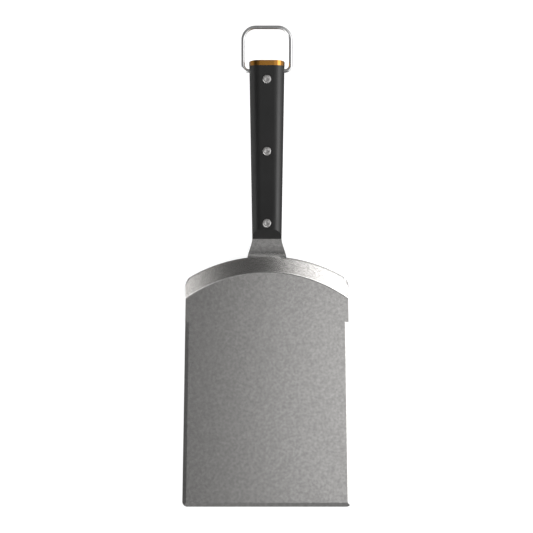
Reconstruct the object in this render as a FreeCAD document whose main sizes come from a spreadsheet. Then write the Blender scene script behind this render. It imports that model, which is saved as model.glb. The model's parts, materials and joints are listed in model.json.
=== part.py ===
"""Grill spatula with a riveted two-scale handle, an end cap and a swivelling hanging loop.

One stainless sheet makes the flat blade, its arched rear wall, the neck and the full tang.
The blade lies flat on the XY plane, the handle climbs towards +Y, and Z is up. Millimetres.
"""
import FreeCAD, Part
import math
import os
import re
import Sketcher
from FreeCAD import Placement, Rotation, Vector

DIMENSIONS = {
    # Sheet metal.
    "sheet": 1.5,                  # thickness of the whole stamping
    "blade_length": 205.4,         # front edge to the bend, on the centre line
    "front_half": 71.8,            # half width at the front edge
    "rear_half": 70.7,             # half width at the bend
    "corner_round": 4.3,           # front corners, in plan
    "bend_circle": 118.0,          # plan radius of the arched bend line
    "wall_slope": 60.0,            # rear wall from the horizontal, degrees
    "wall_face": 18.1,             # height of the wall measured along its slope
    "bend_inside": 1.4,            # inside radius between panel and wall
    "wall_corner": 6.6,            # rounding of the wall's two upper corners
    "bevel_width": 3.2,            # ground edges, in plan
    "bevel_drop": 1.1,             # what the grinding takes off the sheet at its edge
    "bevel_reach": 161.0,          # the side bevels start this far behind the front edge
    # Neck.
    "handle_slope": 15.0,          # tang and handle from the horizontal, degrees
    "neck_bend": 13.4,             # radius of the neck's upper face
    "neck_flat": 6.6,              # straight neck before the handle
    "neck_base": 17.0,             # half width at the top of the wall
    "neck_middle": 14.2,           # half width where the bend ends
    "neck_waist": 0.2,             # how much the flat part's sides are hollowed
    "root_depth": 2.5,             # the neck starts this far down inside the wall
    "root_inset": 0.15,            # and this far inside both faces of the sheet
    # Handle, measured along its own axis from the front end.
    "handle_length": 154.0,
    "handle_height": 10.0,         # middle of the tang to the flat face of a scale
    "handle_front": 12.7,          # half width at the front end
    "handle_butt": 15.25,          # half width where the cap starts
    "side_draft": 9.0,             # lean of the scale's sides, degrees
    "shoulder_front": 7.3,         # rounding between side and flat face, front end
    "shoulder_butt": 8.7,          # the same at the butt
    "nose_lip": 0.5,               # upright step under the scale's sloping front face
    "nose_run": 8.0,               # length of the sloping front face along the handle
    "play": 0.05,                  # gap round the spigot and the rivet shanks
    # End cap.
    "cap_length": 4.45,
    "cap_wall": 1.2,
    "cap_floor": 2.0,
    "cap_proud": 0.12,             # how far the cap stands proud of the scales
    "cap_flat": 8.4,               # half width of the straight middle of its end, in plan
    "cap_crown": 30.0,             # plan radius of the end beside the straight middle
    "cap_round": 0.9,              # plan rounding of the cap's two corners
    # Rivets.
    "rivet_first": 13.45,          # front end of the handle to the first rivet
    "rivet_pitch": 62.05,
    "rivet_shank": 2.4,            # radius of the sleeve's shank
    "rivet_bore": 1.6,             # radius of the pin, pressed into the sleeve
    "rivet_recess": 4.0,           # radius of the counterbore in the scale
    "rivet_seat": 0.9,             # depth of the counterbore
    "head_radius": 3.7,
    "head_side": 0.55,             # upright side of a head
    "rim_round": 1.9,              # rounding of the head's raised rim
    "dish_radius": 1.95,
    "dish_edge": 1.3,              # height of the dish's edge above the seat
    "dish_depth": 0.5,
    "sleeve_gap": 1.2,             # end of the sleeve to the opposite head
    "bore_end": 6.1,               # depth of the bore past the middle of the tang
    "pin_gap": 0.1,                # end of the pin to the end of the bore
    # Hanging loop.
    "wire": 1.6,                   # radius of the wire
    "pivot_from_butt": 8.6,        # hinge line to the end of the handle
    "pivot_play": 0.08,            # gap round the wire in its socket
    "socket_end": 6.9,             # each socket stops this far from the middle
    "wire_end": 7.4,               # each end of the wire stops this far from the middle
    "loop_half": 20.6,             # centre line to the middle of a side wire
    "loop_length": 37.8,           # hinge line to the middle of the cross wire
    "loop_foot": 5.2,              # bend beside the handle
    "loop_corner": 10.9,           # upper corners
    # Front edge to the far side of the loop when it lies in line with the handle.
    "overall_length": 407.6,
}
RIVET_PLACES = ("front", "middle", "rear")
MARGIN = "3"                       # how far a cutting outline runs past the metal it cuts

doc = FreeCAD.newDocument("grill_spatula")
sheet = doc.addObject("Spreadsheet::Sheet", "Dimensions")
for row, (alias, size) in enumerate(DIMENSIONS.items(), start=1):
    sheet.set("A%d" % row, alias)
    sheet.set("B%d" % row, str(size))
    sheet.setAlias("B%d" % row, alias)
doc.recompute()

# Points on the centre line of the sheet's upper face, as (y, z) expressions.
ARC_CENTRE = "(blade_length - overall_length / 2 - bend_circle)"
WALL_TOP_RADIUS = "(bend_circle + wall_face * cos(wall_slope))"
WALL_TOP = ("(%s + %s)" % (ARC_CENTRE, WALL_TOP_RADIUS),
            "(sheet + wall_face * sin(wall_slope))")
NECK_END = ("(%s + neck_bend * (sin(wall_slope) - sin(handle_slope)))" % WALL_TOP[0],
            "(%s + neck_bend * (cos(handle_slope) - cos(wall_slope)))" % WALL_TOP[1])
# Origin of the handle's own frame: middle of the tang at the front end of the scales.
HANDLE = ("(%s + neck_flat * cos(handle_slope) + sheet / 2 * sin(handle_slope))" % NECK_END[0],
          "(%s + neck_flat * sin(handle_slope) - sheet / 2 * cos(handle_slope))" % NECK_END[1])
# Places along the handle's axis, and the seat of a rivet head above the tang.
CAP_FRONT = "(handle_length - cap_length)"
SPIGOT_END = "(handle_length - cap_floor - play)"
PIVOT = "(handle_length - pivot_from_butt)"
SEAT = "(handle_height - rivet_seat)"


def linked(expression):
    """The expression with the name of every dimension made a reference to the sheet."""
    def reference(word):
        name = word.group()
        return "Dimensions." + name if name in DIMENSIONS else name
    return re.sub("[a-z_]+", reference, expression)


def value(expression):
    result = doc.Dimensions.evalExpression(linked(expression))
    return float(getattr(result, "Value", result))


def bind(item, path, expression):
    item.setExpression(path, linked(expression))


def constrain(sketch, label, kind, *target):
    """Add a named constraint whose size comes from the sheet; the size is the last target."""
    size = target[-1]
    index = sketch.addConstraint(Sketcher.Constraint(kind, *target[:-1], value(size)))
    sketch.renameConstraint(index, label)
    bind(sketch, "Constraints." + label, size)


def pin_point(sketch, label, edge, end, corner):
    constrain(sketch, label + "X", "DistanceX", -1, 1, edge, end, corner[0])
    constrain(sketch, label + "Y", "DistanceY", -1, 1, edge, end, corner[1])


def arc_between(start, end, radius):
    """The shorter arc from start to end; it turns left when the radius is positive."""
    chord = end - start
    left = Vector(-chord.y, chord.x, 0).normalize()
    rise = math.sqrt(radius ** 2 - (chord.Length / 2) ** 2)
    centre = (start + end) / 2 + left * math.copysign(rise, radius)
    first, last = (start, end) if radius > 0 else (end, start)
    angles = [math.atan2(point.y - centre.y, point.x - centre.x) for point in (first, last)]
    return Part.ArcOfCircle(Part.Circle(centre, Vector(0, 0, 1), abs(radius)), *angles)


def outline(sketch, corners, closed=True):
    """Edges from corner to corner. A corner is (x, y), or (x, y, radius) when the edge
    that leaves it is an arc, which turns left when the radius is positive."""
    points = [Vector(value(corner[0]), value(corner[1]), 0) for corner in corners]
    links = list(zip(points, points[1:] + points[:1]))
    ends = []
    for index, (start, end) in enumerate(links if closed else links[:-1]):
        label = "p%d" % index
        if len(corners[index]) == 3:
            radius = value(corners[index][2])
            edge = sketch.addGeometry(arc_between(start, end, radius))
            constrain(sketch, label + "R", "Radius", edge, "abs(%s)" % corners[index][2])
            ends.append((1, 2) if radius > 0 else (2, 1))
        else:
            sketch.addGeometry(Part.LineSegment(start, end))
            ends.append((1, 2))
        pin_point(sketch, label, index, ends[index][0], corners[index])
    for index in range(1, len(ends)):
        sketch.addConstraint(Sketcher.Constraint("Coincident", index - 1, ends[index - 1][1],
                                                 index, ends[index][0]))
    last = len(ends) - 1
    if closed:
        sketch.addConstraint(Sketcher.Constraint("Coincident", last, ends[last][1], 0, ends[0][0]))
    else:
        pin_point(sketch, "end", last, ends[last][1], corners[-1])


def circle(sketch, label, centre, radius):
    middle = Vector(value(centre[0]), value(centre[1]), 0)
    edge = sketch.addGeometry(Part.Circle(middle, Vector(0, 0, 1), value(radius)))
    constrain(sketch, label + "R", "Radius", edge, radius)
    pin_point(sketch, label, edge, 3, centre)


def mirrored_corners(right_side):
    """A symmetric outline from its right half, listed from the bottom up."""
    left_side = []
    for index in reversed(range(len(right_side))):
        x, y = right_side[index][:2]
        arc = right_side[index - 1][2:] if index > 0 else ()
        left_side.append(("-" + x, y) + arc)
    return right_side + left_side


def new_body(name):
    body = doc.addObject("PartDesign::Body", name)
    body.Label = name
    return body


def origin_plane(body, role):
    return [item for item in body.Origin.OriginFeatures if item.Role == role][0]


def sketch_on(body, name, plane, shift=None, turn=None):
    """A sketch on one of the body's own planes. The shift, as {axis: distance}, and the
    turn, as (axis, angle), are in that plane's frame."""
    sketch = body.newObject("Sketcher::SketchObject", name)
    sketch.AttachmentSupport = [(origin_plane(body, plane), "")]
    sketch.MapMode = "FlatFace"
    if turn:
        sketch.AttachmentOffset = Placement(Vector(), Rotation(Vector(*turn[0]), value(turn[1])))
        bind(sketch, "AttachmentOffset.Rotation.Angle", turn[1])
    for axis, distance in (shift or {}).items():
        bind(sketch, "AttachmentOffset.Base." + axis, distance)
    return sketch


def feature(body, kind, name, profile, **settings):
    item = body.newObject("PartDesign::" + kind, name)
    item.Profile = profile
    for setting, chosen in settings.items():
        setattr(item, setting, chosen)
    return item


def extruded(body, kind, name, profile, length, reverse=False):
    item = feature(body, kind, name, profile, Reversed=reverse)
    bind(item, "Length", length)
    return item


def cut_through(body, name, profile):
    return feature(body, "Pocket", name, profile, Type="ThroughAll", SideType="Symmetric")


def mirror(body, name, original):
    """Repeat a feature on the other side of the body's YZ plane."""
    item = body.newObject("PartDesign::Mirrored", name)
    item.Originals = [original]
    item.MirrorPlane = (origin_plane(body, "YZ_Plane"), [""])
    body.Tip = item


def blade_panel(body):
    """The flat cooking surface, from the front edge to the centre of the bend's circle."""
    plan = sketch_on(body, "panel_plan", "XY_Plane")
    half = "(front_half + %s)" % MARGIN
    outline(plan, mirrored_corners([(half, "(-overall_length / 2)"), (half, ARC_CENTRE)]))
    extruded(body, "Pad", "panel", plan, "sheet")


def blade_wall(body):
    """The rear of the panel, the bend and the conical wall, turned about the bend's centre."""
    section = sketch_on(body, "wall_section", "YZ_Plane", shift={"x": ARC_CENTRE})
    tangent = "bend_inside * tan(wall_slope / 2)"
    bend_start = "(bend_circle - %s)" % tangent
    bend_end = ("(bend_circle + %s * cos(wall_slope))" % tangent,
                "(sheet + %s * sin(wall_slope))" % tangent)
    wall_top = (WALL_TOP_RADIUS, WALL_TOP[1])
    outer_end, outer_top = [("(%s + sheet * sin(wall_slope))" % point[0],
                             "(%s - sheet * cos(wall_slope))" % point[1])
                            for point in (bend_end, wall_top)]
    outline(section, [("0", "sheet"), ("0", "0"), (bend_start, "0", "(bend_inside + sheet)"),
                      outer_end, outer_top, wall_top, bend_end + ("(-bend_inside)",),
                      (bend_start, "sheet")])
    feature(body, "Revolution", "wall", section, ReferenceAxis=(section, ["V_Axis"]),
            Angle=180.0, Midplane=True)


def blade_sides(body):
    """Trim both sides along lines that spread towards the front, with round front corners."""
    waste = sketch_on(body, "side_waste", "XY_Plane")
    front = "(-overall_length / 2)"
    back = "(%s + %s)" % (WALL_TOP[0], MARGIN)
    beyond = "(bend_circle + wall_face + %s)" % MARGIN
    ahead = "(%s - %s)" % (front, MARGIN)
    spread = "(front_half - rear_half) / blade_length"
    outline(waste, [("(front_half - corner_round)", ahead), (beyond, ahead), (beyond, back),
                    ("(front_half - %s * (%s - %s))" % (spread, back, front), back),
                    ("front_half", "(%s + corner_round)" % front, "(-corner_round)"),
                    ("(front_half - corner_round)", front)])
    mirror(body, "side_trim_left", cut_through(body, "side_trim_right", waste))


def wall_corners(body):
    """Round the two upper corners of the rear wall."""
    waste = sketch_on(body, "wall_corner_waste", "XZ_Plane")
    top = WALL_TOP[1]
    beyond = "(bend_circle + wall_face + %s)" % MARGIN
    above = "(%s + %s)" % (top, MARGIN)
    outline(waste, [("rear_half", "(%s - wall_corner)" % top, "wall_corner"),
                    ("(rear_half - wall_corner)", top), ("(rear_half - wall_corner)", above),
                    (beyond, above), (beyond, "(%s - wall_corner)" % top)])
    mirror(body, "wall_corner_left", cut_through(body, "wall_corner_right", waste))


def ground_bevels(body):
    """The ground edges: both sides, which begin at a step, and the front."""
    per_width = "bevel_drop / bevel_width"
    edge = "(sheet - bevel_drop - %s * %s)" % (MARGIN, per_width)
    above = "(sheet + %s)" % MARGIN
    spread = "(front_half - rear_half) / blade_length"
    side = sketch_on(body, "side_bevel_waste", "XZ_Plane",
                     shift={"x": "(front_half - %s * bevel_reach)" % spread,
                            "z": "(overall_length / 2 - bevel_reach)"},
                     turn=((0, 1, 0), "atan(%s)" % spread))
    outline(side, [("(-bevel_width)", "sheet"), (MARGIN, edge), (MARGIN, above),
                   ("(-bevel_width)", above)])
    right = extruded(body, "Pocket", "side_bevel_right", side, "(bevel_reach + %s)" % MARGIN,
                     reverse=True)
    mirror(body, "side_bevel_left", right)
    front = sketch_on(body, "front_bevel_waste", "YZ_Plane", shift={"x": "(-overall_length / 2)"})
    outline(front, [("bevel_width", "sheet"), ("bevel_width", above), ("(-%s)" % MARGIN, above),
                    ("(-%s)" % MARGIN, edge)])
    cut_through(body, "front_bevel", front)


def neck_section(body, name, place, slope, half, bow=None, inset="0"):
    """One section of the neck, square to its upper face. The bow is the radius to which
    the section is curved, hollow side up; without one the section is flat."""
    section = sketch_on(body, name, "XZ_Plane", turn=((1, 0, 0), slope),
                        shift={"y": place[1], "z": "(-%s)" % place[0]})
    upper = "(-%s)" % inset
    lower = "(%s - sheet)" % inset
    arcs = ((), ())
    if bow:
        lift = "(%s - sqrt(%s * %s - %s * %s))" % (bow, bow, bow, half, half)
        upper = "(%s + %s)" % (upper, lift)
        lower = "(%s + %s)" % (lower, lift)
        arcs = (("(-%s)" % bow,), (bow,))
    outline(section, [(half, lower), (half, upper) + arcs[0],
                      ("(-%s)" % half, upper), ("(-%s)" % half, lower) + arcs[1]])
    return section


def blade_neck(body):
    """The neck leaves the curved wall, bends over and ends flat at the handle."""
    cone = "(%s / sin(wall_slope))" % WALL_TOP_RADIUS
    root = ("(%s - root_depth * cos(wall_slope))" % WALL_TOP[0],
            "(%s - root_depth * sin(wall_slope))" % WALL_TOP[1])
    root_half = "(neck_base + root_depth / 4)"
    sections = [neck_section(body, "neck_root", root, "wall_slope", root_half, cone, "root_inset")]
    bends = [("0.97", cone, "root_inset"), ("0.8", "(4 * %s)" % cone, "(root_inset / 2)"),
             ("0.6", None, "0"), ("0.3", None, "0"), ("0", None, "0")]
    for index, (share, bow, inset) in enumerate(bends):
        turned = "(handle_slope + %s * (wall_slope - handle_slope))" % share
        place = ("(%s + neck_bend * (sin(handle_slope) - sin(%s)))" % (NECK_END[0], turned),
                 "(%s - neck_bend * (cos(handle_slope) - cos(%s)))" % (NECK_END[1], turned))
        half = ("(neck_middle + (neck_base - neck_middle) * sin(%s - handle_slope)"
                " / sin(wall_slope - handle_slope))" % turned)
        sections.append(neck_section(body, "neck_bend_%d" % index, place, turned, half, bow, inset))
    half_way = "((neck_middle + handle_front) / 2 - neck_waist)"
    for name, share, half in (("neck_half_way", "0.5", half_way), ("neck_end", "1", "handle_front")):
        place = ("(%s + %s * neck_flat * cos(handle_slope))" % (NECK_END[0], share),
                 "(%s + %s * neck_flat * sin(handle_slope))" % (NECK_END[1], share))
        sections.append(neck_section(body, name, place, "handle_slope", half))
    feature(body, "AdditiveLoft", "neck", sections[0], Sections=sections[1:])


def tang_sketch(body, name, height="0"):
    """A sketch in the plane of the tang, with its origin at the front end of the handle."""
    return sketch_on(body, name, "XY_Plane", turn=((1, 0, 0), "handle_slope"),
                     shift={"y": "(%s - %s * sin(handle_slope))" % (HANDLE[0], height),
                            "z": "(%s + %s * cos(handle_slope))" % (HANDLE[1], height)})


def blade_tang(body):
    """The tang fills the outline of the scales, and its end is narrowed for the cap."""
    plan = tang_sketch(body, "tang_plan", "(-sheet / 2)")
    spigot_half = "(handle_butt - cap_wall - play)"
    outline(plan, mirrored_corners([("handle_front", "0"), ("handle_butt", CAP_FRONT),
                                    (spigot_half, CAP_FRONT), (spigot_half, SPIGOT_END)]))
    extruded(body, "Pad", "tang", plan, "sheet")
    holes = tang_sketch(body, "tang_holes")
    rivet_circles(holes, "(rivet_shank + play)")
    cut_through(body, "tang_drilling", holes)
    notch = tang_sketch(body, "wire_notch")
    lower, upper = ["(%s %s (wire + pivot_play))" % (PIVOT, sign) for sign in "-+"]
    outline(notch, [("socket_end", lower), ("loop_half", lower),
                    ("loop_half", upper), ("socket_end", upper)])
    mirror(body, "wire_notch_left", cut_through(body, "wire_notch_right", notch))


def rivet_circles(sketch, radius):
    for index, place in enumerate(RIVET_PLACES):
        circle(sketch, place, ("0", "(rivet_first + %d * rivet_pitch)" % index), radius)


def blade():
    body = new_body("blade")
    blade_panel(body)
    blade_wall(body)
    blade_sides(body)
    wall_corners(body)
    ground_bevels(body)
    blade_neck(body)
    blade_tang(body)
    return body


def put_in_handle(body, along="0", height="0", flipped=False):
    """Place a piece, drawn in the handle's frame, on the tang; flipped, it goes below it."""
    turn = Rotation(Vector(1, 0, 0), value("handle_slope"))
    if flipped:
        turn = turn.multiply(Rotation(Vector(0, 1, 0), 180))
    body.Placement = Placement(Vector(), turn)
    bind(body, "Placement.Base.y", "(%s + %s * cos(handle_slope) - %s * sin(handle_slope))"
         % (HANDLE[0], along, height))
    bind(body, "Placement.Base.z", "(%s + %s * sin(handle_slope) + %s * cos(handle_slope))"
         % (HANDLE[1], along, height))
    return body


def section_side(half, shoulder, change="0"):
    """The right side of the handle's section above the tang, offset outwards by the change:
    foot, start of the shoulder's arc and end of the arc."""
    half = "(%s + %s)" % (half, change)
    shoulder = "(%s + %s)" % (shoulder, change)
    height = "(handle_height + %s)" % change
    meeting = "(%s - (%s - sheet / 2) * tan(side_draft))" % (half, height)
    tangent = "%s * tan(45 - side_draft / 2)" % shoulder
    return [(half, "(sheet / 2)"),
            ("(%s + %s * sin(side_draft))" % (meeting, tangent),
             "(%s - %s * cos(side_draft))" % (height, tangent), shoulder),
            ("(%s - %s)" % (meeting, tangent), height)]


def whole_side(change):
    """The right side of the whole section at the butt, from the bottom up."""
    foot, arc_start, arc_end = section_side("handle_butt", "shoulder_butt", change)
    below = [(arc_end[0], "-" + arc_end[1], arc_start[2]), (arc_start[0], "-" + arc_start[1]),
             (foot[0], "-" + foot[1])]
    return below + [foot, arc_start, arc_end]


def handle_scale(name, flipped):
    """One moulded scale: tapering body, spigot for the cap, sloping front face, rivet holes
    and the half-round socket of the hanging loop."""
    body = new_body(name)
    front = sketch_on(body, "front_section", "XZ_Plane")
    outline(front, mirrored_corners(section_side("handle_front", "shoulder_front")))
    butt = sketch_on(body, "butt_section", "XZ_Plane", shift={"z": "(-%s)" % CAP_FRONT})
    outline(butt, mirrored_corners(section_side("handle_butt", "shoulder_butt")))
    feature(body, "AdditiveLoft", "scale", front, Sections=[butt])
    spigot = sketch_on(body, "spigot_section", "XZ_Plane", shift={"z": "(-%s)" % CAP_FRONT})
    reduced = section_side("handle_butt", "shoulder_butt", "(-cap_wall - play)")
    outline(spigot, mirrored_corners(reduced))
    extruded(body, "Pad", "spigot", spigot, "(%s - %s)" % (SPIGOT_END, CAP_FRONT), reverse=True)

    nose = sketch_on(body, "nose_waste", "YZ_Plane")
    foot = "(sheet / 2 + nose_lip)"
    above = "(handle_height + %s)" % MARGIN
    slope_end = "(nose_run * (%s - %s) / (handle_height - %s))" % (above, foot, foot)
    before = "(-%s)" % MARGIN
    outline(nose, [(before, foot), ("0", foot), (slope_end, above), (before, above)])
    cut_through(body, "nose", nose)

    recesses = sketch_on(body, "recess_circles", "XY_Plane", shift={"z": "handle_height"})
    rivet_circles(recesses, "rivet_recess")
    extruded(body, "Pocket", "rivet_recesses", recesses, "rivet_seat")
    holes = sketch_on(body, "hole_circles", "XY_Plane")
    rivet_circles(holes, "(rivet_shank + play)")
    cut_through(body, "rivet_holes", holes)

    socket = sketch_on(body, "socket_circle", "YZ_Plane", shift={"z": "socket_end"})
    circle(socket, "bore", (PIVOT, "0"), "(wire + pivot_play)")
    right = extruded(body, "Pocket", "socket_right", socket, "handle_butt", reverse=True)
    mirror(body, "socket_left", right)
    return put_in_handle(body, flipped=flipped)


def end_cap():
    """A metal cup that closes the butt of the handle and clasps the ends of both scales."""
    body = new_body("end_cap")
    outside = sketch_on(body, "cap_section", "XZ_Plane", shift={"z": "(-%s)" % CAP_FRONT})
    outline(outside, mirrored_corners(whole_side("cap_proud")))
    extruded(body, "Pad", "cap", outside, "cap_length", reverse=True)
    half = "(handle_butt + cap_proud)"
    crown_centre = "(handle_length - cap_crown)"
    lean = "((%s - cap_round - cap_flat) / (cap_crown - cap_round))" % half
    rise = "sqrt(1 - %s * %s)" % (lean, lean)
    corner = sketch_on(body, "corner_waste", "XY_Plane")
    side_end = "(%s + (cap_crown - cap_round) * %s)" % (crown_centre, rise)
    above = "(handle_length + %s)" % MARGIN
    beside = "(%s + %s)" % (half, MARGIN)
    outline(corner, [(half, side_end, "cap_round"),
                     ("(cap_flat + cap_crown * %s)" % lean,
                      "(%s + cap_crown * %s)" % (crown_centre, rise), "cap_crown"),
                     ("cap_flat", "handle_length"), ("cap_flat", above),
                     (beside, above), (beside, side_end)])
    mirror(body, "corner_left", cut_through(body, "corner_right", corner))
    cavity = sketch_on(body, "cavity_section", "XZ_Plane", shift={"z": "(-%s)" % CAP_FRONT})
    outline(cavity, mirrored_corners(whole_side("(-cap_wall)")))
    extruded(body, "Pocket", "cavity", cavity, "(cap_length - cap_floor)")
    return put_in_handle(body)


def rivet_half(name, place, inner_profile, flipped):
    """A turned half of a rivet: the inner profile, then a head with a rounded rim and a dish.
    Its origin is on the seat of the head, and the shank points down."""
    body = new_body(name)
    section = sketch_on(body, "half_section", "YZ_Plane")
    dish = "((dish_radius * dish_radius + dish_depth * dish_depth) / (2 * dish_depth))"
    outline(section, [("0", "(dish_edge - dish_depth)")] + inner_profile
            + [("head_radius", "0"), ("head_radius", "head_side", "rim_round"),
               ("dish_radius", "dish_edge", "(-%s)" % dish)])
    feature(body, "Revolution", "turned", section, ReferenceAxis=(section, ["V_Axis"]), Angle=360.0)
    along = "(rivet_first + %d * rivet_pitch)" % RIVET_PLACES.index(place)
    return put_in_handle(body, along, "(-%s)" % SEAT if flipped else SEAT, flipped)


def rivet(place):
    """A compression rivet: a hollow sleeve from above and a pin pressed into it from below."""
    bore_top = "(bore_end - %s)" % SEAT
    sleeve_tip = "(sleeve_gap - 2 * %s)" % SEAT
    sleeve_profile = [("0", bore_top), ("rivet_bore", bore_top), ("rivet_bore", sleeve_tip),
                      ("rivet_shank", sleeve_tip), ("rivet_shank", "0")]
    pin_tip = "(pin_gap - bore_end - %s)" % SEAT
    pin_profile = [("0", pin_tip), ("rivet_bore", pin_tip), ("rivet_bore", "0")]
    return [rivet_half("rivet_sleeve_" + place, place, sleeve_profile, flipped=False),
            rivet_half("rivet_pin_" + place, place, pin_profile, flipped=True)]


def hanging_loop():
    """A wire bail whose ends turn in the sockets; its origin is on the hinge line."""
    body = new_body("hanging_loop")
    path = sketch_on(body, "wire_path", "XY_Plane")
    right_side = [("wire_end", "0"), ("(loop_half - loop_foot)", "0", "loop_foot"),
                  ("loop_half", "loop_foot"),
                  ("loop_half", "(loop_length - loop_corner)", "loop_corner"),
                  ("(loop_half - loop_corner)", "loop_length")]
    corners = mirrored_corners(right_side)
    outline(path, corners, closed=False)
    ring = sketch_on(body, "wire_section", "YZ_Plane", shift={"z": "wire_end"})
    circle(ring, "wire", ("0", "0"), "wire")
    doc.recompute()
    edges = ["Edge%d" % number for number in range(1, len(corners))]
    feature(body, "AdditivePipe", "wire_sweep", ring, Spine=(path, edges))
    return put_in_handle(body, along=PIVOT)


def checked(bodies):
    """Stop with a message if any feature failed or any sub-part isn't one valid solid."""
    doc.recompute()
    faults = [item.Name for item in doc.Objects if {"Invalid", "Error"} & set(item.State)]
    for body in bodies:
        shape = body.Shape
        if shape.isNull() or not shape.isValid() or len(shape.Solids) != 1:
            faults.append(body.Label)
    if faults:
        raise RuntimeError("failed: " + ", ".join(faults))
    return bodies


def export(bodies):
    os.makedirs("parts", exist_ok=True)
    for body in bodies:
        body.Shape.exportStep("parts/%s.step" % body.Label)


pieces = [blade(), handle_scale("handle_scale_upper", False),
          handle_scale("handle_scale_lower", True), end_cap(), hanging_loop()]
for rivet_place in RIVET_PLACES:
    pieces += rivet(rivet_place)
export(checked(pieces))
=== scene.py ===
"""Looks of the grill spatula: steel, black plastic, anodised metal, and a plain studio."""
import json
import math
import bmesh
import bpy
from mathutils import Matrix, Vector

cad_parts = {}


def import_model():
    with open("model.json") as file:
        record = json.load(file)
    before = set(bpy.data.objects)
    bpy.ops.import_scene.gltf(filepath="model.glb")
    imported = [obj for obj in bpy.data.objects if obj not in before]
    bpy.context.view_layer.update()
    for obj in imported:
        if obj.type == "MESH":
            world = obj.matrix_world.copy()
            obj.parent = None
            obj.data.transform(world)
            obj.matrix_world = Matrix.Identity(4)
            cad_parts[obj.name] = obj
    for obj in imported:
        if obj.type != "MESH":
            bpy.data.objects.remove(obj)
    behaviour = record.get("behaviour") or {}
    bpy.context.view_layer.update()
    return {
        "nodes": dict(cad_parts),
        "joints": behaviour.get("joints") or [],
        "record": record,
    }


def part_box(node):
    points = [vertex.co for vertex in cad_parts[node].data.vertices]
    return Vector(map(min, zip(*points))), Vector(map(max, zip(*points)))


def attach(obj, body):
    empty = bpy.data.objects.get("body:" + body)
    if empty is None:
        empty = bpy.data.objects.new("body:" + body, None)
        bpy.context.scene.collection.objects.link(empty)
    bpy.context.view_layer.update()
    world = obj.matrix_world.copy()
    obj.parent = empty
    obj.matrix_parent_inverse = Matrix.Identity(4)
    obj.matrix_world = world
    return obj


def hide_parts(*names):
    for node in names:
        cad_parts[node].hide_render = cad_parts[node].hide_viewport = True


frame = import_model()

MM = 0.001
NODES = frame["nodes"]
PIVOT = Vector(frame["joints"][0]["pos_m"])
EYE = next(mount for mount in frame["record"]["mounts"] if mount["name"] == "hanging_eye")
HANDLE_NORMAL = Vector(EYE["axis"])
HANDLE_AXIS = Vector((1, 0, 0)).cross(-HANDLE_NORMAL).normalized()
HANDLE_SLOPE = math.atan2(HANDLE_AXIS.z, HANDLE_AXIS.y)


# ---------------------------------------------------------------- node helpers
MIX_FACTOR, MIX_FIRST, MIX_SECOND, MIX_RESULT = 0, 6, 7, 2      # colour sockets of the Mix node


class Tree:
    """Short calls for building one node tree."""

    def __init__(self, owner):
        owner.use_nodes = True
        self.tree = owner.node_tree
        self.tree.nodes.clear()

    def node(self, kind, inputs=None, **settings):
        item = self.tree.nodes.new(kind)
        for name, chosen in settings.items():
            setattr(item, name, chosen)
        for name, source in (inputs or {}).items():
            self.feed(item.inputs[name], source)
        return item

    def feed(self, socket, source):
        """Link a socket into another one, or set a plain value on it."""
        if isinstance(source, bpy.types.NodeSocket):
            self.tree.links.new(source, socket)
        else:
            socket.default_value = source

    def place(self):
        """The object's own coordinates, in metres."""
        return self.node("ShaderNodeTexCoord").outputs["Object"]

    def math(self, operation, *values):
        item = self.node("ShaderNodeMath", operation=operation)
        for socket, source in zip(item.inputs, values):
            self.feed(socket, source)
        return item.outputs[0]

    def ramp(self, source, low, high, to_low, to_high, kind="LINEAR"):
        item = self.node("ShaderNodeMapRange", interpolation_type=kind, inputs={
            "Value": source, "From Min": low, "From Max": high, "To Min": to_low, "To Max": to_high})
        return item.outputs["Result"]

    def spread(self, noise, to_low, to_high, margin=0.3):
        """Stretch the middle of a noise, where most of its values lie, over the given range."""
        return self.ramp(noise, margin, 1 - margin, to_low, to_high)

    def noise(self, vector, scale, detail=2.0, roughness=0.5):
        item = self.node("ShaderNodeTexNoise", inputs={
            "Vector": vector, "Scale": scale, "Detail": detail, "Roughness": roughness})
        return item.outputs["Fac"]

    def dot(self, vector, direction):
        item = self.node("ShaderNodeVectorMath", operation="DOT_PRODUCT")
        self.feed(item.inputs[0], vector)
        self.feed(item.inputs[1], direction)
        return item.outputs["Value"]

    def mix(self, factor, first, second):
        item = self.node("ShaderNodeMix", data_type="RGBA")
        self.feed(item.inputs[MIX_FACTOR], factor)
        self.feed(item.inputs[MIX_FIRST], first)
        self.feed(item.inputs[MIX_SECOND], second)
        return item.outputs[MIX_RESULT]

    def bump(self, height, distance):
        item = self.node("ShaderNodeBump", inputs={
            "Height": height, "Distance": distance, "Strength": 1.0})
        return item.outputs["Normal"]


# ---------------------------------------------------------------- materials
# The scale of a noise is the number of its cells in a metre, and the depth of a bump is in metres.
STEEL_DARK, STEEL_LIGHT = (0.500, 0.491, 0.482, 1), (0.650, 0.640, 0.627, 1)
BLACK_DARK, BLACK_LIGHT = (0.005, 0.005, 0.005, 1), (0.010, 0.010, 0.010, 1)
METAL_SHADES = (0.94, 1.06)          # darkest and lightest share of a plain metal's colour
METAL_PATCHES = 0.03                 # how far its roughness strays each way
COAT_ROUGHNESS = 0.12


def new_material(name):
    material = bpy.data.materials.new(name)
    tree = Tree(material)
    output = tree.node("ShaderNodeOutputMaterial")
    shader = tree.node("ShaderNodeBsdfPrincipled")
    tree.feed(output.inputs["Surface"], shader.outputs[0])
    return material, tree, shader


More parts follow.
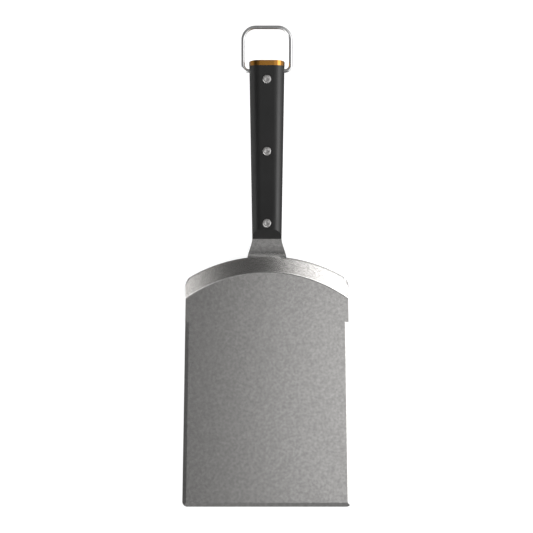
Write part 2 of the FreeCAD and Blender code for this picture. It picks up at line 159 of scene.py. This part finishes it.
def steel_material():
    """Tumbled stainless sheet: a fine even mottle, a slight cloudiness and a very shallow grain."""
    material, tree, shader = new_material("blade_steel")
    place = tree.place()
    cells = tree.noise(place, 430.0, detail=1.2)
    cloud = tree.noise(place, 28.0)
    grain = tree.noise(place, 1400.0, roughness=0.6)
    mottle = tree.math("ADD", tree.spread(cells, 0.0, 1.0, margin=0.25), tree.spread(cloud, -0.03, 0.03))
    tree.feed(shader.inputs["Base Color"], tree.mix(mottle, STEEL_DARK, STEEL_LIGHT))
    tree.feed(shader.inputs["Roughness"], tree.spread(cells, 0.272, 0.26))
    height = tree.math("ADD", cells, tree.math("MULTIPLY", grain, 0.3))
    tree.feed(shader.inputs["Normal"], tree.bump(height, 0.000013))
    shader.inputs["Metallic"].default_value = 1.0
    return material


def plastic_material():
    """Black moulding with a fine grain that hardly stands up."""
    material, tree, shader = new_material("handle_black")
    place = tree.place()
    grain = tree.noise(place, 2200.0)
    patch = tree.noise(place, 60.0)
    tree.feed(shader.inputs["Base Color"], tree.mix(patch, BLACK_DARK, BLACK_LIGHT))
    tree.feed(shader.inputs["Roughness"], tree.spread(patch, 0.37, 0.43))
    tree.feed(shader.inputs["Normal"], tree.bump(grain, 0.00002))
    return material


def metal(name, color, rough, coat=0.0):
    """Plain metal of one colour, with a fine grain, under a clear coat if one is asked for."""
    material, tree, shader = new_material(name)
    grain = tree.noise(tree.place(), 1500.0)
    dark, light = [tuple(shade * part for part in color) + (1,) for shade in METAL_SHADES]
    tree.feed(shader.inputs["Base Color"], tree.mix(grain, dark, light))
    tree.feed(shader.inputs["Roughness"], tree.spread(grain, rough - METAL_PATCHES, rough + METAL_PATCHES))
    tree.feed(shader.inputs["Normal"], tree.bump(grain, 0.000008))
    shader.inputs["Metallic"].default_value = 1.0
    shader.inputs["Coat Weight"].default_value = coat
    shader.inputs["Coat Roughness"].default_value = COAT_ROUGHNESS
    return material


def assign(material, *names):
    for name in names:
        NODES[name].data.materials.clear()
        NODES[name].data.materials.append(material)


assign(plastic_material(), "handle_scale_upper", "handle_scale_lower")
assign(metal("cap_metal", (0.42, 0.185, 0.022), 0.17, coat=0.5), "end_cap")
assign(metal("loop_wire", (0.56, 0.56, 0.56), 0.30), "hanging_loop")
assign(metal("rivet_steel", (0.40, 0.392, 0.388), 0.56),
       *[name for name in NODES if name.startswith("rivet_")])


# ---------------------------------------------------------------- blade
# The blade is one bent sheet. Its CAD solid has the right shape but coarse bends and knife-sharp edges,
# so this mesh stands for it. Lengths are in millimetres. The sheet's upper face is described, and its lower
# face follows.
SHEET = 1.5
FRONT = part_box("blade")[0][1] / MM
FRONT_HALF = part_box("blade")[1][0] / MM
BLADE_LENGTH = 205.4                # front edge to the bend, on the centre line
SIDE_SPREAD = 1.1 / BLADE_LENGTH    # how fast the sides close towards the wall
CORNER_ROUND = 4.3                  # front corners, in plan
BEND_CIRCLE = 118.0                 # plan radius of the bend line
BEND_CENTRE = FRONT + BLADE_LENGTH - BEND_CIRCLE
BEND_INSIDE = 1.4                   # inside radius between panel and wall
WALL_SLOPE = math.radians(60)
WALL_FACE = 18.1                    # height of the wall along its slope
WALL_CORNER = 6.6                   # rounding of its two upper corners
BEVEL_WIDTH, BEVEL_DROP = 3.2, 1.1  # ground edges, in plan and in depth
BEVEL_REACH = 161.0                 # the side bevels start this far behind the front edge
EDGE_ROUND = 0.16

# Neck.
NECK_BEND, NECK_FLAT = 13.4, 6.6    # radius of its bend, and the straight part after the bend
NECK_BASE, NECK_MIDDLE = 17.0, 14.2 # half widths at the wall's top and where the bend ends
NECK_WAIST = 0.2                    # how much the sides of the straight part are hollowed

# Tang: distances along it from the handle's front end, and half widths.
HANDLE_LENGTH = 154.0
HANDLE_FRONT, HANDLE_BUTT = 12.7, 15.25
PIVOT_ALONG = HANDLE_LENGTH - 8.6
NOTCH_RADIUS = 1.68                 # the loop's wire and its play
NOTCH_START, NOTCH_END = PIVOT_ALONG - NOTCH_RADIUS, PIVOT_ALONG + NOTCH_RADIUS
NOTCH_HALF = 6.9                    # half width left between the two notches
TANG_CAP = HANDLE_LENGTH - 4.45     # where the cap starts
SPIGOT_HALF, SPIGOT_LENGTH = 14.0, 2.4
STEP_RUN = 0.05                     # length over which a square step in the width happens

# How finely the curves are divided.
BEND_STEPS = 8                      # between panel and wall
WALL_SHARES = (0.3, 0.65, 1.0)      # rows up the wall
NECK_COLUMNS = 8                    # across half the neck
WALL_COLUMNS = 16                   # from the neck to the wall's rounded corner
WALL_CORNER_STEPS = 10
FRONT_CORNER_STEPS = 8
NECK_BEND_STEPS = 12
NECK_FLAT_STEPS = 6
BOW_ROWS = 2                        # rows in which the wall's bow fades from the neck
NEAR = 1e-6


def side_at(y):
    """Half width of the blade at y."""
    return FRONT_HALF - SIDE_SPREAD * (y - FRONT)


def on_cone(x, radius):
    """The y at x of the circle of that radius about the bend's centre."""
    return BEND_CENTRE + math.sqrt(radius ** 2 - x ** 2)


def wall_profile():
    """Points (radius, height) from the bend's start to the wall's top, for both faces of the sheet."""
    tangent = BEND_INSIDE * math.tan(WALL_SLOPE / 2)
    start = BEND_CIRCLE - tangent
    upper, lower = [], []
    for step in range(BEND_STEPS + 1):
        a = WALL_SLOPE * step / BEND_STEPS
        for side, radius in ((upper, BEND_INSIDE), (lower, BEND_INSIDE + SHEET)):
            side.append((start + radius * math.sin(a), SHEET + BEND_INSIDE - radius * math.cos(a)))
    for share in WALL_SHARES:
        along = tangent + (WALL_FACE - tangent) * share
        radius, z = BEND_CIRCLE + along * math.cos(WALL_SLOPE), SHEET + along * math.sin(WALL_SLOPE)
        upper.append((radius, z))
        lower.append((radius + SHEET * math.sin(WALL_SLOPE), z - SHEET * math.cos(WALL_SLOPE)))
    return upper, lower


def wall_columns():
    """Places across the wall: close together at its rounded corners, even elsewhere."""
    flat = side_at(0) - WALL_CORNER
    neck = [NECK_BASE * k / NECK_COLUMNS for k in range(NECK_COLUMNS)]
    middle = [NECK_BASE + (flat - NECK_BASE) * k / WALL_COLUMNS for k in range(WALL_COLUMNS + 1)]
    corner = [flat + WALL_CORNER * math.sin(math.radians(90 / WALL_CORNER_STEPS * k))
              for k in range(1, WALL_CORNER_STEPS + 1)]
    half = neck + middle + corner
    return [-x for x in reversed(half[1:])] + half


def rounded_top(x):
    """Height of the wall's outline at x."""
    top = SHEET + WALL_FACE * math.sin(WALL_SLOPE)
    over = max(0.0, abs(x) - (side_at(0) - WALL_CORNER))
    return top - WALL_CORNER + math.sqrt(max(0.0, WALL_CORNER ** 2 - over ** 2))


def clipped(profile, ceiling):
    """The profile with its wall squeezed below the ceiling, so every column has the same count."""
    bend, wall = profile[:BEND_STEPS + 1], profile[BEND_STEPS + 1:]
    foot, top = bend[-1], wall[-1]
    share = min(1.0, (ceiling - foot[1]) / (top[1] - foot[1]))
    return bend + [(foot[0] + (radius - foot[0]) * share, foot[1] + (z - foot[1]) * share)
                   for radius, z in wall]


def tang_half(along):
    """Half width of the tang between its notches and cap, where it fills the scales."""
    return HANDLE_FRONT + (HANDLE_BUTT - HANDLE_FRONT) * along / TANG_CAP


def straight_stations():
    """The straight neck and the tang behind it: (distance past the neck's bend, half width)."""
    neck = []
    for step in range(1, NECK_FLAT_STEPS + 1):
        taper = NECK_MIDDLE + (HANDLE_FRONT - NECK_MIDDLE) * step / NECK_FLAT_STEPS
        hollow = NECK_WAIST * math.sin(math.pi * step / NECK_FLAT_STEPS)
        neck.append((NECK_FLAT * step / NECK_FLAT_STEPS, taper - hollow))
    tang = [(NOTCH_START, tang_half(NOTCH_START)), (NOTCH_START + STEP_RUN, NOTCH_HALF),
            (NOTCH_END, NOTCH_HALF), (NOTCH_END + STEP_RUN, tang_half(NOTCH_END)),
            (TANG_CAP, HANDLE_BUTT), (TANG_CAP + STEP_RUN, SPIGOT_HALF),
            (TANG_CAP + SPIGOT_LENGTH, SPIGOT_HALF)]
    return neck + [(NECK_FLAT + along, half) for along, half in tang]


def neck_rows():
    """Rows from the wall's top to the tang's end: (y, z, slope, half width, bow)."""
    top_y = BEND_CENTRE + BEND_CIRCLE + WALL_FACE * math.cos(WALL_SLOPE)
    top_z = SHEET + WALL_FACE * math.sin(WALL_SLOPE)
    turn = WALL_SLOPE - HANDLE_SLOPE
    rows = []
    for step in range(1, NECK_BEND_STEPS + 1):
        slope = WALL_SLOPE - turn * step / NECK_BEND_STEPS
        share = math.sin(slope - HANDLE_SLOPE) / math.sin(turn)
        bow = max(0.0, 1 - step / BOW_ROWS)
        rows.append((top_y + NECK_BEND * (math.sin(WALL_SLOPE) - math.sin(slope)),
                     top_z + NECK_BEND * (math.cos(slope) - math.cos(WALL_SLOPE)), slope,
                     NECK_MIDDLE + (NECK_BASE - NECK_MIDDLE) * share, bow * bow * (3 - 2 * bow)))
    end_y, end_z = rows[-1][:2]
    for along, half in straight_stations():
        rows.append((end_y + along * math.cos(HANDLE_SLOPE), end_z + along * math.sin(HANDLE_SLOPE),
                     HANDLE_SLOPE, half, 0.0))
    return rows


class Shell:
    """Points and faces of a closed sheet, gathered in millimetres."""

    def __init__(self):
        self.points, self.faces = [], []

    def add(self, x, y, z):
        self.points.append((x * MM, y * MM, z * MM))
        return len(self.points) - 1

    def face(self, *corners):
        self.faces.append(corners)

    def strip(self, first, second):
        """Quads between two equally long rows."""
        for k in range(len(first) - 1):
            self.face(first[k], first[k + 1], second[k + 1], second[k])

    def mesh(self, name):
        """A mesh of the faces, joined and all facing outwards."""
        mesh = bpy.data.meshes.new(name)
        mesh.from_pydata(self.points, [], self.faces)
        work = bmesh.new()
        work.from_mesh(mesh)
        bmesh.ops.remove_doubles(work, verts=work.verts, dist=1e-7)
        bmesh.ops.recalc_face_normals(work, faces=work.faces)
        work.to_mesh(mesh)
        work.free()
        return mesh


def add_wall(shell, columns):
    """The bend and the wall. Gives the points of the upper and the lower face, column by column."""
    upper_profile, lower_profile = wall_profile()
    upper, lower = [], []
    for x in columns:
        ceiling = rounded_top(x)
        for side, profile in ((upper, upper_profile), (lower, lower_profile)):
            column = []
            for radius, z in clipped(profile, ceiling):
                across = x
                if abs(x) >= columns[-1]:
                    across = math.copysign(side_at(on_cone(x, radius)), x)
                column.append(shell.add(across, on_cone(across, radius), z))
            side.append(column)
    for k in range(len(columns) - 1):
        shell.strip(upper[k], upper[k + 1])
        shell.strip(lower[k + 1], lower[k])
    shell.strip(lower[0], upper[0])
    shell.strip(upper[-1], lower[-1])
    return upper, lower


def add_neck(shell, columns, above, below):
    """The wall's top edge, and the neck and tang that leave it. Above and below are its two rims."""
    first = min(k for k, x in enumerate(columns) if x >= -NECK_BASE - NEAR)
    last = max(k for k, x in enumerate(columns) if x <= NECK_BASE + NEAR)
    for rim in (slice(0, first + 1), slice(last, None)):
        shell.strip(below[rim], above[rim])

    above, below = above[first:last + 1], below[first:last + 1]
    cone = BEND_CIRCLE + WALL_FACE * math.cos(WALL_SLOPE)
    for y, z, slope, half, bow in neck_rows():
        row_above, row_below = [], []
        for column in columns[first:last + 1]:
            x = column / NECK_BASE * half
            sag = bow * (cone - math.sqrt(cone ** 2 - x ** 2))
            row_above.append(shell.add(x, y - sag, z))
            row_below.append(shell.add(x, y - sag + SHEET * math.sin(slope), z - SHEET * math.cos(slope)))
        shell.strip(row_above, above)
        shell.strip(below, row_below)
        shell.face(above[0], row_above[0], row_below[0], below[0])
        shell.face(row_above[-1], above[-1], below[-1], row_below[-1])
        above, below = row_above, row_below
    shell.strip(below, above)


def panel_side(shell, sign):
    """The points of one side of the panel: its ground edge, the step behind it and the front corner."""
    shoulder = FRONT + BEVEL_REACH
    inner_y = FRONT + BEVEL_WIDTH
    corner_x = side_at(FRONT) - CORNER_ROUND
    arc = []
    for step in range(FRONT_CORNER_STEPS + 1):
        a = math.radians(90 * step / FRONT_CORNER_STEPS)
        x = corner_x + CORNER_ROUND * math.cos(a)
        y = FRONT + CORNER_ROUND * (1 - math.sin(a))
        drop = max(x - (side_at(y) - BEVEL_WIDTH), inner_y - y) / BEVEL_WIDTH * BEVEL_DROP
        arc.append((sign * x, y, SHEET - min(BEVEL_DROP, drop)))
    return {
        "inner_corner": shell.add(sign * (side_at(inner_y) - BEVEL_WIDTH), inner_y, SHEET),
        "inner_step": shell.add(sign * (side_at(shoulder) - BEVEL_WIDTH), shoulder, SHEET),
        "outer_step": shell.add(sign * side_at(shoulder), shoulder, SHEET),
        "thin_step": shell.add(sign * side_at(shoulder), shoulder, SHEET - BEVEL_DROP),
        "foot_step": shell.add(sign * side_at(shoulder), shoulder, 0.0),
        "arc": [shell.add(*point) for point in arc],
        "foot_arc": [shell.add(x, y, 0.0) for x, y, _ in arc]}


def add_panel(shell, bend_above, bend_below):
    """The flat panel in front of the bend, whose two start lines are given."""
    right, left = panel_side(shell, 1), panel_side(shell, -1)
    shell.face(*bend_above[::-1], left["outer_step"], left["inner_step"], left["inner_corner"],
               right["inner_corner"], right["inner_step"], right["outer_step"])
    shell.face(*bend_below, right["foot_step"], *right["foot_arc"], *left["foot_arc"][::-1],
               left["foot_step"])
    half_way = FRONT_CORNER_STEPS // 2      # where the front bevel meets the side bevel
    for side, end in ((right, -1), (left, 0)):
        shell.face(side["inner_corner"], *side["arc"][half_way::-1], side["thin_step"],
                   side["inner_step"])
        shell.face(side["inner_step"], side["thin_step"], side["outer_step"])
        shell.face(bend_above[end], side["outer_step"], side["thin_step"], side["foot_step"],
                   bend_below[end])
        shell.face(side["thin_step"], side["arc"][0], side["foot_arc"][0], side["foot_step"])
        shell.strip(side["arc"], side["foot_arc"])
    shell.face(right["inner_corner"], left["inner_corner"], *left["arc"][half_way:],
               *right["arc"][:half_way - 1:-1])
    shell.face(left["arc"][-1], right["arc"][-1], right["foot_arc"][-1], left["foot_arc"][-1])


def blade_mesh():
    shell = Shell()
    columns = wall_columns()
    upper, lower = add_wall(shell, columns)
    add_neck(shell, columns, [column[-1] for column in upper], [column[-1] for column in lower])
    add_panel(shell, [column[0] for column in upper], [column[0] for column in lower])
    return shell.mesh("blade_sheet")


def soften(piece, width):
    """Round every sharp edge and shade the rest smooth."""
    mesh = piece.data
    mesh.shade_smooth()
    mesh.set_sharp_from_angle(angle=math.radians(12))
    bevel = piece.modifiers.new("edge", "BEVEL")
    bevel.width, bevel.segments = width, 2
    bevel.limit_method, bevel.angle_limit = "ANGLE", math.radians(40)
    bevel.use_clamp_overlap = True
    weighted = piece.modifiers.new("normals", "WEIGHTED_NORMAL")
    weighted.keep_sharp = True
    weighted.weight = 100


def add_blade(material):
    mesh = blade_mesh()
    mesh.materials.append(material)
    piece = bpy.data.objects.new("blade_sheet", mesh)
    bpy.context.scene.collection.objects.link(piece)
    soften(piece, EDGE_ROUND * MM)
    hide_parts("blade")
    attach(piece, "spatula")


add_blade(steel_material())


# ---------------------------------------------------------------- studio
# Soft windows round the object: bearing, height, core and reach in degrees, and strength. A bearing is from
# the front, with the right positive. A window is full within its core and fades out at its reach.
WINDOWS = [(-22, 2, 0, 20, 5.0),     # front left, which whitens the right half of the curved wall
           (-40, 2, 0, 22, 8.0),
           (-62, 2, 0, 22, 9.0),
           (50, 2, 0, 22, 4.4),      # front right, for the wall's left end
           (74, 2, 0, 20, 3.2),
           (95, 0, 10, 40, 0.9),     # right, low
           (95, 34, 6, 27, 4.0),     # right, high
           (70, 24, 0, 18, 2.4),     # front right, for the left half of the bend
           (38, 29, 0, 20, 1.25),    # and for its middle
           (140, 15, 5, 38, 1.5),    # back right, for the wall's top edge
           (-150, 36, 5, 30, 0.9),   # back left, for the same edge on the other side
           (-98, -12, 10, 50, 0.55), # left, low
           (0, -90, 30, 80, 0.12),   # below
           (0, 68, 0, 42, 0.24)]     # above
WORLD_GREY = (0.8, 0.8, 0.8, 1)
AMBIENT = 0.10
BACKDROP = 1.25                      # what the camera itself sees past the floor: white

FLOOR_SIZE, FLOOR_DEPTH = 8.0, 0.0004
FLOOR_GREY, FLOOR_GLOW = (0.5, 0.5, 0.5, 1), 0.82

LENS, SENSOR = 135.0, 36.0
FRAME_WIDTH = 0.4616                 # metres across the picture, in the plane of the handle
AIM = 0.1693                         # the middle of the picture is this far in front of the hinge
SHIFT_LEFT = 0.00035


def floor():
    """A white floor that shows no reflection and is in none."""
    bpy.ops.mesh.primitive_plane_add(size=FLOOR_SIZE, location=(0, 0, -FLOOR_DEPTH))
    plane = bpy.context.object
    plane.name = "floor"
    material, _, shader = new_material("floor_white")
    shader.inputs["Base Color"].default_value = FLOOR_GREY
    shader.inputs["Roughness"].default_value = 0.9
    shader.inputs["Specular IOR Level"].default_value = 0.0
    shader.inputs["Emission Color"].default_value = (1, 1, 1, 1)
    shader.inputs["Emission Strength"].default_value = FLOOR_GLOW
    plane.data.materials.append(material)
    plane.visible_glossy = False


def softbox(name, centre, size, tilt, radiance):
    """A flat lamp facing down, tilted about Y by `tilt` degrees."""
    data = bpy.data.lights.new(name, "AREA")
    data.shape = "RECTANGLE"
    data.size, data.size_y = size
    data.energy = math.pi * size[0] * size[1] * radiance
    item = bpy.data.objects.new(name, data)
    item.location = centre
    item.rotation_euler = (0, math.radians(tilt), 0)
    item.visible_camera = False
    bpy.context.scene.collection.objects.link(item)


def world():
    """The windows and a faint even light, behind a white backdrop."""
    sky = bpy.data.worlds.new("studio")
    bpy.context.scene.world = sky
    tree = Tree(sky)
    ray = tree.node("ShaderNodeTexCoord").outputs["Generated"]
    total = AMBIENT
    for bearing, height, core, reach, strength in WINDOWS:
        a, e = math.radians(bearing), math.radians(height)
        middle = (math.cos(e) * math.sin(a), -math.cos(e) * math.cos(a), math.sin(e))
        glow = tree.ramp(tree.dot(ray, middle), math.cos(math.radians(reach)),
                         math.cos(math.radians(core)), 0.0, strength, kind="SMOOTHSTEP")
        total = tree.math("ADD", glow, total)
    seen = tree.node("ShaderNodeLightPath").outputs["Is Camera Ray"]
    total = tree.math("MAXIMUM", total, tree.math("MULTIPLY", seen, BACKDROP))
    background = tree.node("ShaderNodeBackground", inputs={"Color": WORLD_GREY, "Strength": total})
    output = tree.node("ShaderNodeOutputWorld")
    tree.feed(output.inputs["Surface"], background.outputs[0])


def camera():
    """Looks straight at the handle's upper face, with the handle upright in the picture."""
    data = bpy.data.cameras.new("camera")
    data.sensor_width = SENSOR
    data.lens = LENS
    item = bpy.data.objects.new("camera", data)
    target = PIVOT - AIM * HANDLE_AXIS
    item.location = target + HANDLE_NORMAL * (LENS * FRAME_WIDTH / SENSOR)
    item.location.x -= SHIFT_LEFT
    item.rotation_euler = (HANDLE_SLOPE, 0, 0)
    bpy.context.scene.collection.objects.link(item)
    bpy.context.scene.camera = item


floor()
world()
softbox("softbox_right", centre=(0.45, 0.165, 0.9), size=(0.97, 0.60), tilt=25, radiance=0.79)
camera()
bpy.context.scene.view_settings.view_transform = "Standard"
